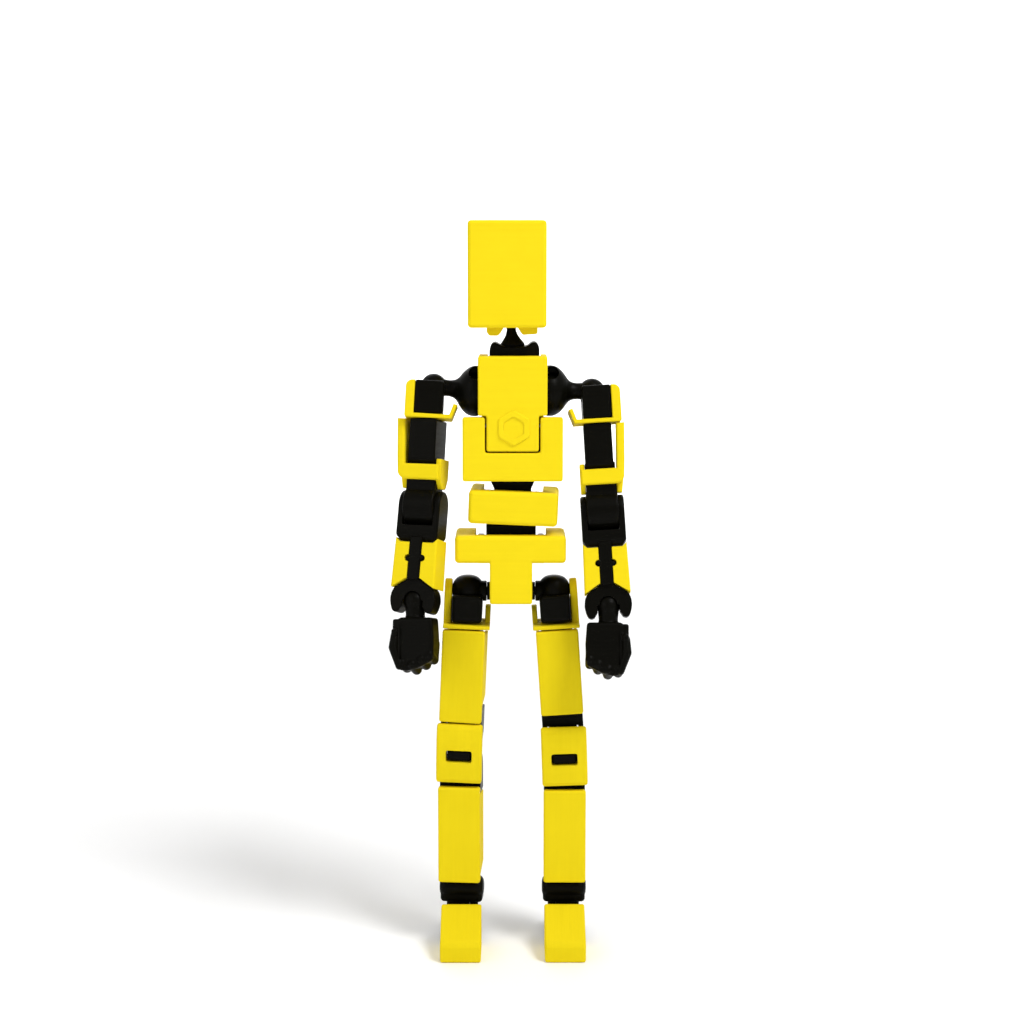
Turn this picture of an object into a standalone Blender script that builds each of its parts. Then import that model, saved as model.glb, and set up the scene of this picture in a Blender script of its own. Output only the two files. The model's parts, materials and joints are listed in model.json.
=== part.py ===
"""Posable humanoid robot figure kit: a black snap-fit joint skeleton with clip-on yellow armour.

Metres, +Z up. The figure stands on Z = 0 and faces -Y. "l" is the figure's own left (+X), "r" its own right.
Limb pieces are drawn in millimetres for the +X side, round the joint that carries them, and mirrored for "r".
"""
import math

import bmesh
import bpy
from mathutils import Matrix, Vector

MM = 0.001
GAP = 0.35          # clearance between separate pieces

# Driving sizes in millimetres.
HEIGHT = 136.0
HIP_Z = 67.6
CENTRE_X = 0.11     # these two put the middle of the whole figure over the origin
CENTRE_Y = 3.0
HIP_X = 8.05
WAIST_Z = 76.7
BELLY_Z = 84.7
SHOULDER_Z = 105.0
SHOULDER_X = 7.3
SHOULDER_Y = 0.5
LINK_LENGTH = 7.3
SWIVEL_X = 0.65     # the upper arm hangs a little outside the shoulder ball
NECK_Z = 112.3
HEAD_Z = 118.6
ELBOW_DROP = 22.15
WRIST_DROP = 17.5
THIGH_LENGTH = {"l": 26.9, "r": 26.3}
KNEE_SPACING = 7.5
ANKLE_HEIGHT = 10.4
ROLL_DROP = 4.9
HEAD_SHIFT = -0.4   # the head sits a little off centre on its peg, and its shell on the socket
SHELL_SHIFT = -0.6
ABDOMEN_SHIFT = 0.3
THIGH_GUARD_END = {"l": -22.7, "r": -24.2}
SLOT_MIDDLE = -4.2  # height of the slot in the knee guard

# Resting pose in degrees.
LINK_LIFT = {"l": -1.0, "r": 6.0}
ARM_LEAN = {"l": 3.3, "r": 3.2}
ARM_SWING = 10.0
BICEP_TURN = {"l": -2.0, "r": 17.0}
ELBOW_BEND = 5.0
WRIST_BEND = -3.0
THIGH_LEAN = {"l": 3.8, "r": 2.5}
THIGH_TURN = {"l": 0.0, "r": 5.0}
ABDOMEN_TURN = -2.0
ABDOMEN_TILT = 2.2
HEAD_LEAN = math.degrees(math.asin(HEAD_SHIFT / (HEAD_Z - NECK_Z)))

# Radii of the joints' halves: ball and seat, swivel peg and bore, hinge pin and dimple.
BALL = 2.0
SEAT = 2.4
PEG = 1.5
BORE = 1.9
PIN = 0.8
DIMPLE = 1.2

# Flat sides used for the round pieces.
BALL_SIDES = 12
BALL_RINGS = 8
ROUND_SIDES = 16
PIN_SIDES = 8

SIDES = {"l": 1.0, "r": -1.0}
PAINTS = {
    "yellow_torso": ((0.95, 0.74, 0.016), 0.45),
    "yellow_limb": ((0.84, 0.65, 0.010), 0.48),
    "black": ((0.012, 0.012, 0.009), 0.38),
}


# --- scene, frames and paints -------------------------------------------------------------------

def clear_scene():
    for thing in list(bpy.data.objects):
        bpy.data.objects.remove(thing, do_unlink=True)


def paint(name):
    material = bpy.data.materials.get(name)
    if material is None:
        colour, roughness = PAINTS[name]
        material = bpy.data.materials.new(name)
        material.use_nodes = True
        shader = material.node_tree.nodes["Principled BSDF"]
        shader.inputs["Base Color"].default_value = (*colour, 1.0)
        shader.inputs["Roughness"].default_value = roughness
        shader.inputs["Metallic"].default_value = 0.0
        material.diffuse_color = (*colour, 1.0)
    return material


def frame(name, parent, at, turn=(0.0, 0.0, 0.0)):
    """An empty on a joint: at in millimetres and turn in degrees, both in the parent's frame."""
    empty = bpy.data.objects.new(name, None)
    empty.empty_display_size = 2.0 * MM
    bpy.context.scene.collection.objects.link(empty)
    empty.parent = parent
    empty.location = Vector(at) * MM
    empty.rotation_euler = [math.radians(angle) for angle in turn]
    return empty


def level(empty):
    """Turns a frame so that it stands upright and faces straight ahead in the world."""
    bpy.context.view_layer.update()
    empty.rotation_euler = empty.parent.matrix_world.to_quaternion().inverted().to_euler()
    bpy.context.view_layer.update()


# --- solids, drawn in millimetres ----------------------------------------------------------------

def box(x, y, z, bevel=0.0, edges="all"):
    """A block between three (low, high) pairs, bevelled on all edges or on those along one axis."""
    mesh = bmesh.new()
    bmesh.ops.create_cube(mesh, size=1.0)
    spans = [sorted(span) for span in (x, y, z)]
    for vert in mesh.verts:
        vert.co = Vector(low + (high - low) * (c + 0.5) for (low, high), c in zip(spans, vert.co))
    if bevel:
        chosen = [edge for edge in mesh.edges if edges == "all" or along(edge, edges)]
        bmesh.ops.bevel(mesh, geom=chosen, offset=bevel, segments=1, affect="EDGES", profile=0.5)
    return mesh


def along(edge, axes):
    direction = (edge.verts[0].co - edge.verts[1].co).normalized()
    return any(abs(direction["xyz".index(axis)]) > 0.99 for axis in axes)


def turned(mesh, axis):
    """Turns a shape made along Z so that it lies along the given axis."""
    if axis == "x":
        bmesh.ops.rotate(mesh, verts=mesh.verts, matrix=Matrix.Rotation(math.pi / 2, 3, "Y"))
    if axis == "y":
        bmesh.ops.rotate(mesh, verts=mesh.verts, matrix=Matrix.Rotation(-math.pi / 2, 3, "X"))
    return mesh


def rod(axis, centre, radius, low, high, sides=ROUND_SIDES, end_radius=None):
    """A round bar along an axis, from low to high along it, through the centre's other two coordinates."""
    mesh = bmesh.new()
    tip = radius if end_radius is None else end_radius
    bmesh.ops.create_cone(mesh, segments=sides, radius1=radius, radius2=tip, depth=high - low, cap_ends=True)
    bmesh.ops.rotate(mesh, verts=mesh.verts, matrix=Matrix.Rotation(math.pi / sides, 3, "Z"))
    turned(mesh, axis)
    place = Vector(centre)
    place["xyz".index(axis)] = (low + high) / 2
    bmesh.ops.translate(mesh, verts=mesh.verts, vec=place)
    return mesh


def ball(centre, radius):
    mesh = bmesh.new()
    bmesh.ops.create_uvsphere(mesh, u_segments=BALL_SIDES, v_segments=BALL_RINGS, radius=radius)
    bmesh.ops.translate(mesh, verts=mesh.verts, vec=centre)
    return mesh


def plate(axis, outline, low, high, bevel=0.0):
    """A flat outline pushed along an axis: (y, z) points for x, (x, z) for y and (x, y) for z."""
    mesh = bmesh.new()
    spot = {
        "x": lambda a, b: (low, a, b),
        "y": lambda a, b: (a, low, b),
        "z": lambda a, b: (a, b, low),
    }[axis]
    face = mesh.faces.new([mesh.verts.new(spot(a, b)) for a, b in outline])
    grown = bmesh.ops.extrude_face_region(mesh, geom=[face])
    push = Vector((0.0, 0.0, 0.0))
    push["xyz".index(axis)] = high - low
    moved = [item for item in grown["geom"] if isinstance(item, bmesh.types.BMVert)]
    bmesh.ops.translate(mesh, verts=moved, vec=push)
    bmesh.ops.recalc_face_normals(mesh, faces=mesh.faces)
    if bevel:
        rims = [edge for edge in mesh.edges if not along(edge, axis)]
        bmesh.ops.bevel(mesh, geom=rims, offset=bevel, segments=1, affect="EDGES", profile=0.5)
    return mesh


def spun(profile, sides=ROUND_SIDES):
    """A shape turned round the X axis from (x, radius) points, which start and end at radius 0."""
    mesh = bmesh.new()
    verts = [mesh.verts.new((x, 0.0, radius)) for x, radius in profile]
    edges = [mesh.edges.new(pair) for pair in zip(verts, verts[1:])]
    bmesh.ops.spin(mesh, geom=verts + edges, axis=(1, 0, 0), cent=(0, 0, 0), dvec=(0, 0, 0),
                   angle=math.tau, steps=sides, use_merge=True)
    bmesh.ops.remove_doubles(mesh, verts=mesh.verts, dist=0.001)
    bmesh.ops.recalc_face_normals(mesh, faces=mesh.faces)
    return mesh


def arc(centre, radius, start, end, steps):
    """Points round a centre, with the angles in degrees."""
    angles = [math.radians(start + (end - start) * step / steps) for step in range(steps + 1)]
    return [(centre[0] + radius * math.cos(a), centre[1] + radius * math.sin(a)) for a in angles]


def raw_object(mesh, name):
    data = bpy.data.meshes.new(name)
    mesh.to_mesh(data)
    mesh.free()
    thing = bpy.data.objects.new(name, data)
    bpy.context.scene.collection.objects.link(thing)
    return thing


def combined(solids, cuts):
    """One mesh: the solids joined, and then the cuts taken away."""
    base = raw_object(solids[0], "base")
    tools = []
    for kind, meshes in (("UNION", solids[1:]), ("DIFFERENCE", cuts)):
        for mesh in meshes:
            tool = raw_object(mesh, "tool")
            boolean = base.modifiers.new(kind.lower(), "BOOLEAN")
            boolean.operation = kind
            boolean.solver = "EXACT"
            boolean.object = tool
            tools.append(tool)
    graph = bpy.context.evaluated_depsgraph_get()
    data = bpy.data.meshes.new_from_object(base.evaluated_get(graph))
    for thing in (base, *tools):
        bpy.data.objects.remove(thing, do_unlink=True)
    return data


def combined_mesh(solids, cuts):
    """The same, as a shape that goes into a further piece."""
    data = combined(solids, cuts)
    mesh = bmesh.new()
    mesh.from_mesh(data)
    return mesh


def piece(name, parent, colour, solids, cuts=(), side=1.0):
    """A finished piece in its joint's frame, mirrored for the figure's right."""
    data = combined(list(solids), list(cuts))
    mesh = bmesh.new()
    mesh.from_mesh(data)
    bmesh.ops.dissolve_limit(mesh, angle_limit=math.radians(0.5), verts=mesh.verts, edges=mesh.edges)
    bmesh.ops.remove_doubles(mesh, verts=mesh.verts, dist=0.002)
    bmesh.ops.scale(mesh, verts=mesh.verts, vec=(side * MM, MM, MM))
    if side < 0:
        bmesh.ops.reverse_faces(mesh, faces=mesh.faces)
    bmesh.ops.triangulate(mesh, faces=mesh.faces)
    for face in mesh.faces:
        face.smooth = True
    mesh.to_mesh(data)
    mesh.free()
    data.name = name
    data.materials.clear()
    data.materials.append(paint(colour))
    data.set_sharp_from_angle(angle=math.radians(35))
    thing = bpy.data.objects.new(name, data)
    bpy.context.scene.collection.objects.link(thing)
    thing.parent = parent
    return thing


def pins(x, z, y=0.0, reach=0.9):
    """Two hinge pins along X, from inside the cheeks at +-x towards the middle."""
    return [rod("x", (0, y, z), PIN, *sorted((sign * (x + 0.3), sign * (x - reach))), sides=PIN_SIDES)
            for sign in (1, -1)]


def dimples(x, z, y=0.0, depth=1.1):
    """The two blind holes in a barrel's ends at +-x, where the pins sit."""
    return [rod("x", (0, y, z), DIMPLE, *sorted((sign * (x + 0.5), sign * (x - depth))), sides=PIN_SIDES)
            for sign in (1, -1)]


# --- head and neck -------------------------------------------------------------------------------

def make_head(head):
    width, depth, low = 7.1, 7.4, 116.8 - HEAD_Z
    top = HEIGHT - HEAD_Z
    piece("head_shell", head, "yellow_torso",
          [box((SHELL_SHIFT - width, SHELL_SHIFT + width), (-depth, depth), (low, top), 0.5)],
          [box((-5.2, 5.2), (-5.4, 5.4), (low - 1, top - 1.8))])
    jaws = [box((-4.3, -1.9), (-3.4, 3.4), (-3.3, 0), 0.3), box((1.9, 4.9), (-3.4, 3.4), (-3.3, 0), 0.3)]
    piece("head_socket", head, "yellow_torso",
          [box((-4.85, 4.85), (-5.05, 5.05), (-1.5, 4.4), 0.4), *jaws],
          [ball((0, 0, 0), SEAT), rod("z", (0, 0, 0), 1.75, -4, 0)])


def make_neck(neck):
    piece("neck_post", neck, "black",
          [ball((0, 0, 0), BALL), rod("z", (0, 0, 0), 0.95, 0.5, HEAD_Z - NECK_Z - 0.5, sides=10),
           ball((0, 0, HEAD_Z - NECK_Z), BALL)])


# --- torso, drawn round the belly hinge ----------------------------------------------------------

def make_chest(chest):
    low = BELLY_Z
    neck = NECK_Z - low
    shoulder = SHOULDER_Z - low
    stubs = [rod("x", (0, SHOULDER_Y, shoulder), 1.15, *sorted((sign * 3.5, sign * SHOULDER_X)), sides=10)
             for sign in (1, -1)]
    knobs = [ball((sign * SHOULDER_X, SHOULDER_Y, shoulder), 1.75) for sign in (1, -1)]
    bumps = [rod("y", (sign * 3.5, 0, neck + 0.5), 1.0, -2.6, 2.6, sides=10) for sign in (1, -1)]
    piece("chest_frame", chest, "black",
          [box((-3.7, 3.7), (-4.1, 4.4), (5.6, neck - 2.75), 0.4),
           box((-6.8, 6.8), (-4.1, 4.4), (5.0, 13.9), 0.5),
           box((-4.4, 4.4), (-3.0, 3.0), (neck - 2.9, neck + 0.9), 0.6), *bumps, *stubs, *knobs],
          [ball((0, 0, neck), SEAT)])
    half = 6.3
    piece("chest_plate_upper", chest, "yellow_torso",
          [box((-half, half), (-6.6, -4.45), (16.2, 26.9), 0.5),
           box((-4.75, 4.75), (-6.6, -4.45), (9.7, 17.0), 0.35),
           box((-half, half), (-6.2, 3.4), (25.6, 26.95), 0.4),
           plate("y", emblem_outline(0.2, 14.0), -7.0, -6.0)],
          [box((-4.8, 4.8), (-3.4, 4.0), (24.0, 28.0))])
    piece("chest_plate_lower", chest, "yellow_torso",
          [box((-9.15, 9.15), (-6.6, -4.45), (4.2, 15.9), 0.55)],
          [box((-5.05, 5.05), (-8.0, -3.0), (9.4, 17.0))])
    piece("back_plate", chest, "yellow_torso",
          [box((-5.2, 5.2), (4.75, 6.6), (12.0, 25.6), 0.5), box((-6.6, 6.6), (4.75, 6.6), (6.0, 14.5), 0.5)],
          [rod("x", (0, 8.3, 15.5), 2.2, -8, 8)])
    piece("chest_link", chest, "black",
          [rod("x", (0, 0, 0), 2.1, -3.45, 3.45),
           plate("y", [(-3.4, 0.0), (3.4, 0.0), (3.4, 2.5), (4.45, 4.65), (-4.45, 4.65), (-3.4, 2.5)],
                 -2.0, 2.0)],
          dimples(3.45, 0))


def emblem_outline(x, z):
    """A plain raised hexagon badge."""
    return arc((x, z), 3.1, 30, 330, 5)


def make_abdomen(abdomen):
    low = 80.75 - WAIST_Z
    top = 86.9 - WAIST_Z
    belly = BELLY_Z - WAIST_Z
    cheeks = [box(sorted((sign * 3.8, sign * 5.2)), (-3.0, 3.0), (low, belly + 1.5), 0.3) for sign in (1, -1)]
    piece("abdomen_core", abdomen, "black",
          [box((-5.2, 5.2), (-3.6, 3.6), (low, low + 1.45), 0.3), *cheeks, *pins(3.8, belly)],
          [rod("z", (0, 0, 0), BORE, low - 1, low + 3)])
    piece("abdomen_band", abdomen, "yellow_torso",
          [box((ABDOMEN_SHIFT - 8.2, ABDOMEN_SHIFT + 8.2), (-6.3, 5.4), (low + 0.05, top + 0.1), 0.7)],
          [box((-5.55, 5.55), (-4.1, 6.5), (low - 1, top + 1))])


def make_waist(waist):
    floor = 80.75 - WAIST_Z
    piece("waist_link", waist, "black",
          [rod("x", (0, 0, 0), 2.3, -4.6, 4.6), box((-4.6, 4.6), (-2.2, 2.2), (0, floor - GAP), 0.3),
           rod("z", (0, 0, 0), PEG, floor - 1, floor + 1.3, sides=12)],
          dimples(4.6, 0))


def make_pelvis(pelvis):
    waist = WAIST_Z - HIP_Z
    cheeks = [box(sorted((sign * 4.95, sign * 6.2)), (-2.4, 3.6), (waist - 3.6, waist + 1.3), 0.3)
              for sign in (1, -1)]
    stubs = [rod("x", (0, 0, 0), 0.85, *sorted((sign * 3.6, sign * (HIP_X + 0.5))), sides=PIN_SIDES)
             for sign in (1, -1)]
    piece("pelvis_frame", pelvis, "black",
          [box((-6.2, 6.2), (-3.6, 3.6), (waist - 3.9, waist - 2.65), 0.3), *cheeks,
           box((-3.3, 3.3), (-3.6, 3.2), (-2.0, waist - 2.9), 0.4),
           rod("x", (0, 0, 0), 1.7, -4.2, 4.2), *stubs, *pins(4.95, waist)])
    piece("pelvis_plate", pelvis, "yellow_torso",
          [box((-10.3, 10.1), (-6.4, 5.4), (6.15, 11.2), 0.8),
           box((-3.9, 3.9), (-6.4, -4.4), (-1.45, 7.0), 0.4)],
          [box((-6.55, 6.55), (-4.0, 6.5), (4.0, 12.0))])


# --- arm, drawn for the figure's left ------------------------------------------------------------

def make_shoulder_link(link, tag, side):
    shell = [(-1.5, 0.0), (-1.5, 4.65), (0.2, 4.6), (1.3, 4.0), (2.3, 2.9), (2.9, 1.9), (3.4, 1.25),
             (LINK_LENGTH - 1.4, 1.2), (LINK_LENGTH - 1.4, 0.0)]
    hollow = [(-2.2, 0.0), (-2.2, 4.0), (-1.7, 3.7), (-0.6, 2.95), (0.4, 2.3), (1.4, 1.75), (2.15, 0.8),
              (2.3, 0.0)]
    piece(f"shoulder_link_{tag}", link, "black",
          [spun(shell), ball((LINK_LENGTH, 0, 0), 2.35)], [spun(hollow, 12)], side)


def make_upper_arm(arm, tag, side):
    floor = -5.0
    piece(f"upper_arm_socket_{tag}", arm, "black",
          [box((-1.95, 3.0), (-3.6, 3.6), (floor, 0.8), 0.35),
           rod("z", (SWIVEL_X, 0, 0), PEG, floor - 4.2, floor + 1.0, sides=12)],
          [ball((0, 0, 0), 2.7), box((-4.0, 1.2), (-1.7, 1.7), (-1.75, 3.0))], side)
    piece(f"shoulder_guard_{tag}", arm, "yellow_limb",
          [box((3.3, 5.05), (-3.7, 3.4), (-6.15, 0.75), 0.5),
           box((-3.6, 4.0), (-3.9, 3.4), (-6.15, floor - GAP), 0.15),
           box((-3.95, -3.1), (-3.6, 2.6), (-6.15, -3.45), 0.2)],
          [rod("z", (SWIVEL_X, 0, 0), BORE, -8, -3)], side)


def make_bicep(bicep, tag, side):
    top = -6.5
    low = -14.2
    piece(f"bicep_core_{tag}", bicep, "black",
          [box((-2.7, 2.6), (-3.2, 3.2), (low, top), 0.3),
           box((-2.2, 2.2), (-1.6, 1.6), (-ELBOW_DROP + 1, low + 1), 0.2),
           rod("x", (0, 0, -ELBOW_DROP), 3.75, -2.65, 2.65)],
          [rod("z", (0, 0, 0), BORE, top - 3.2, top + 2), *dimples(2.65, -ELBOW_DROP)], side)
    band = -17.3
    tip = -18.95
    inner_tab = [(-2.5, -13.6), (2.2, -13.6), (2.2, band + 0.5), (1.0, tip), (-1.0, tip), (-2.5, band + 0.5)]
    outer_tab = [(3.05, band + 1), (4.3, band + 1), (4.3, band + 0.1), (3.75, tip), (3.05, tip)]
    piece(f"bicep_guard_{tag}", bicep, "yellow_limb",
          [box((2.95, 4.35), (-2.9, 2.2), (band + 1.2, top - 0.1), 0.35),
           box((-3.65, 4.45), (-3.3, 2.4), (band, low - GAP), 0.6),
           plate("x", inner_tab, -3.75, -3.05), plate("y", outer_tab, -1.6, 1.6)],
          [box((-2.55, 2.55), (-1.95, 1.95), (band - 2, low + 2))], side)


def make_forearm(forearm, tag, side):
    floor = -4.1
    wrist = -WRIST_DROP
    fork = [(-2.8, 0.0), (-2.8, floor - 1.4), (-1.9, floor - 2.6), (1.9, floor - 2.6), (2.8, floor - 1.4),
            (2.8, 0.0), *arc((0, 0), 2.8, 0, 180, 8)[1:-1]]
    half_claw = [(1.1, wrist + 3.6), (3.8, wrist + 2.0), (4.3, wrist), (4.0, wrist - 1.5), (3.3, wrist - 2.4),
                 (2.4, wrist - 2.1)]
    claw = [*half_claw, *[(-x, z) for x, z in reversed(half_claw)]]
    piece(f"forearm_core_{tag}", forearm, "black",
          [plate("x", fork, -4.0, 4.0), box((-1.1, 1.1), (-2.7, 1.0), (wrist + 3.0, floor - 2.0), 0.2),
           box((-1.6, 1.6), (-2.4, 0.6), (-10.4, -9.6)), plate("y", claw, -2.0, 2.0), *pins(2.95, 0)],
          [box((-2.95, 2.95), (-4, 4), (floor, 4.0)), ball((0, 0, wrist), SEAT + 0.1),
           box((-2.05, 2.05), (-3, 3), (wrist - 5, wrist)), *side_chamfers(floor)], side)
    wall = [(-4.0, -6.4), (-3.43, -7.05), (3.43, -7.05), (4.0, -6.4), (4.15, wrist + 2.3), (-4.15, wrist + 2.3)]
    claw_space = [(-1.45, wrist + 4.05), (-6.4, wrist + 0.65), (6.4, wrist + 0.65), (1.45, wrist + 4.05)]
    slope = [(-2.6, wrist + 2.3), (-2.6, wrist), (4.0, wrist), (4.0, wrist + 4.9)]
    piece(f"forearm_guard_{tag}", forearm, "yellow_limb",
          [plate("y", wall, -2.6, 3.4, 0.35)],
          [box((-1.45, 1.45), (-4, 1.35), (-20, -5)), box((-1.95, 1.95), (-4, 1.35), (-10.75, -9.25)),
           plate("y", claw_space, -5, 2.35), plate("x", slope, -5, 5)], side)


def side_chamfers(floor):
    """Wedges that slope the yoke's lower outer corners."""
    wedges = []
    for sign in (1, -1):
        corner = [(sign * 4.4, floor - 1.3), (sign * 4.4, floor - 3.0), (sign * 2.9, floor - 3.0)]
        wedges.append(plate("y", corner, -4, 4))
    return wedges


def make_hand(hand, tag, side):
    fist = [(-3.7, -3.1), (1.8, -3.1), (3.6, -3.5), (3.9, -8.4), (3.2, -10.0), (2.6, -13.0), (-0.3, -13.2),
            (-2.8, -12.0), (-4.1, -11.2), (-4.1, -7.6)]
    piece(f"hand_{tag}", hand, "black",
          [plate("y", fist, -2.6, 2.8, 0.5), box((2.2, 4.2), (-3.3, -0.6), (-9.8, -4.8), 0.45),
           rod("z", (0, 0, 0), 1.6, -4.0, -0.8, sides=10), ball((0, 0, 0), BALL)], (), side)


# --- leg, drawn for the figure's left ------------------------------------------------------------

def make_hip(hip, tag, side):
    piece(f"hip_ball_{tag}", hip, "black",
          [ball((0, 0, 0), 3.0), rod("x", (0, 0, 0), 1.9, -3.5, -1.6)],
          [rod("x", (0, 0, 0), DIMPLE, -5.0, 0.9, sides=PIN_SIDES)], side)


def make_thigh_socket(socket, tag, side):
    floor = -5.4
    piece(f"thigh_socket_{tag}", socket, "black",
          [box((-2.85, 2.85), (-4.2, 4.2), (floor, -0.3), 0.5)],
          [ball((0, 0, 0), 3.45), box((-4, -1), (-2.3, 2.3), (-3.1, 2)),
           rod("z", (0, 0, 0), BORE, -8, -2)], side)
    lug = [(-2.7, -6.0), (2.7, -6.0), (2.7, -0.5), *arc((0, -0.5), 2.7, 0, 180, 8)[1:-1], (-2.7, -0.5)]
    lip = [(-1.6, -6.0), (3.4, -6.0), (3.4, -2.9), (1.2, -2.9)]
    piece(f"hip_guard_{tag}", socket, "yellow_limb",
          [box((-4.4, 4.3), (-4.9, 3.6), (-6.45, floor - GAP), 0.2),
           plate("x", lug, 3.2, 4.3, 0.2), plate("x", lip, -4.4, -3.4, 0.15)],
          [rod("z", (0, 0, 0), BORE, -8, -2)], side)


def make_thigh(thigh, tag, side):
    top = -6.8
    knee = -THIGH_LENGTH[tag]
    ear = [(-2.6, knee), *arc((0, knee), 2.6, 180, 360, 8)[1:-1], (2.6, knee), (2.6, knee + 4), (-2.6, knee + 4)]
    ears = [plate("x", ear, *sorted((sign * 2.95, sign * 3.85))) for sign in (1, -1)]
    piece(f"thigh_core_{tag}", thigh, "black",
          [box((-2.95, 2.95), (-2.9, 3.2), (knee + 3.2, top), 0.3), *ears,
           box((-3.8, 3.8), (-2.5, 2.5), (knee + 3.0, knee + 4.3), 0.2),
           rod("z", (0, 0, 0), PEG, top - 1, -3.85, sides=12), *pins(2.95, knee)], (), side)
    guard_shell(f"thigh_guard_{tag}", thigh, (3.95, 3.95), (top + 0.05, THIGH_GUARD_END[tag]),
                (top + 1, knee + 4.6), side)


def guard_shell(name, parent, halves, heights, walls, side):
    """A limb cover: a thick front with two thin side walls over part of its height, open behind."""
    top, low = heights
    wide, narrow = halves
    outline = [(-wide, top), (wide, top), (narrow, low), (-narrow, low)]
    piece(name, parent, "yellow_limb", [plate("y", outline, -5.0, 3.0, 0.4)],
          [box((-3.3, 3.3), (-3.25, 5.0), (low - 5, top + 5)),
           box((-9, 9), (-3.25, 5.0), (low - 5, walls[1])),
           box((-9, 9), (-3.25, 5.0), (walls[0], top + 5))], side)


def make_knee(knee, tag, side):
    low = -KNEE_SPACING
    piece(f"knee_link_{tag}", knee, "black",
          [rod("x", (0, 0, 0), 2.45, -2.6, 2.6), rod("x", (0, 0, low), 2.45, -2.6, 2.6),
           box((-2.5, 2.5), (-2.9, 1.9), (low + 0.1, -0.1), 0.2),
           box((-2.15, 2.15), (-5.0, -2.0), (SLOT_MIDDLE - 0.85, SLOT_MIDDLE + 0.85), 0.15)],
          [*dimples(2.6, 0), *dimples(2.6, low)], side)
    side_view = [(-3.25, 1.6), (-4.7, 1.9), (-5.3, 1.0), (-5.6, -1.0), (-5.6, low + 1.6), (-5.2, low - 1.4),
                 (-4.6, low - 2.0), (-3.25, low - 1.7)]
    piece(f"knee_guard_{tag}", knee, "yellow_limb", [plate("x", side_view, -4.25, 4.25, 0.3)],
          [box((-2.45, 2.45), (-7, -2), (SLOT_MIDDLE - 1.15, SLOT_MIDDLE + 1.15), 0.4, "y")], side)


def make_shin(shin, tag, side):
    ankle = ANKLE_HEIGHT - knee_height(tag)
    ear = [(-2.6, 0.0), (-2.6, -4.5), (2.6, -4.5), (2.6, 0.0), *arc((0, 0), 2.6, 0, 180, 8)[1:-1]]
    ears = [plate("x", ear, *sorted((sign * 2.95, sign * 3.85))) for sign in (1, -1)]
    foot_eye = rod("x", (0, 0, ankle), 1.45, -1.4, 1.4, sides=12)
    piece(f"shin_core_{tag}", shin, "black",
          [box((-2.95, 2.95), (-2.9, 3.2), (ankle + 2.5, -3.2), 0.3), *ears,
           box((-3.8, 3.8), (-2.5, 2.5), (-4.7, -3.1), 0.2),
           box((-1.3, 1.3), (-1.2, 1.2), (ankle, ankle + 3.0)), foot_eye, *pins(2.95, 0)],
          dimples(1.4, ankle, depth=0.9), side)
    guard_shell(f"shin_guard_{tag}", shin, (3.95, 3.95), (-2.85, ankle + 2.2), (-5.1, ankle + 1.9), side)


def make_ankle(ankle, tag, side):
    roll = -ROLL_DROP
    slot = [rod("x", (0, 0, 0), 1.8, -1.75, 1.75), box((-1.75, 1.75), (-3, 3), (-0.9, 3))]
    barrel = combined_mesh([rod("x", (0, 0, 0), 2.05, -4.1, 4.1), box((-3.9, 3.9), (-1.6, 1.6), (-2.7, -0.5), 0.2)],
                           slot)
    piece(f"ankle_link_{tag}", ankle, "black",
          [barrel, *pins(1.75, 0, reach=0.75), box((-1.5, 1.5), (-1.4, 1.4), (roll, -2.2)),
           rod("y", (0, 0, roll), 1.6, -1.5, 1.5, sides=12)],
          [rod("y", (0, 0, roll), DIMPLE, sign * 2.5 - 1.9, sign * 2.5 + 1.9, sides=PIN_SIDES)
           for sign in (1, -1)], side)


def make_foot(foot, tag, side):
    sole = -foot.matrix_world.translation.z / MM
    nibs = [rod("y", (0, 0, 0), PIN, *sorted((sign * 2.2, sign * 1.0)), sides=PIN_SIDES) for sign in (1, -1)]
    piece(f"foot_core_{tag}", foot, "black",
          [box((-3.35, 3.35), (-3.1, 7.6), (sole, sole + 2.6), 0.4),
           box((-3.0, 3.0), (1.85, 4.4), (sole, 2.2), 0.4),
           box((-3.0, 3.0), (-3.1, -1.85), (sole, 2.0), 0.3), *nibs], (), side)
    cap = [(-3.45, sole), (-3.45, 2.5), (-4.3, 2.7), (-12.4, sole + 4.0), (-13.0, sole + 3.2), (-13.0, sole + 0.3),
           (-12.7, sole)]
    piece(f"foot_cover_{tag}", foot, "yellow_limb",
          [plate("x", cap, -3.8, 3.8, 0.4)], (), side)


def knee_height(tag):
    """Height of the lower knee hinge above the ground."""
    thigh = THIGH_LENGTH[tag] * math.cos(math.radians(THIGH_LEAN[tag]))
    return HIP_Z - thigh - KNEE_SPACING * math.cos(math.radians(THIGH_LEAN[tag] / 2))


# --- the whole figure ----------------------------------------------------------------------------

def make_torso():
    pelvis = frame("pelvis_joint", None, (CENTRE_X, CENTRE_Y, HIP_Z))
    waist = frame("waist_joint", pelvis, (0, 0, WAIST_Z - HIP_Z))
    abdomen = frame("abdomen_joint", waist, (0, 0, 0), (0, ABDOMEN_TILT, ABDOMEN_TURN))
    chest = frame("chest_joint", abdomen, (0, 0, BELLY_Z - WAIST_Z), (0, -ABDOMEN_TILT, -ABDOMEN_TURN))
    neck = frame("neck_joint", chest, (0, 0, NECK_Z - BELLY_Z), (0, HEAD_LEAN, 0))
    head = frame("head_joint", neck, (0, 0, HEAD_Z - NECK_Z), (0, -HEAD_LEAN, 0))
    make_pelvis(pelvis)
    make_waist(waist)
    make_abdomen(abdomen)
    make_chest(chest)
    make_neck(neck)
    make_head(head)
    return pelvis, chest


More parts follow.
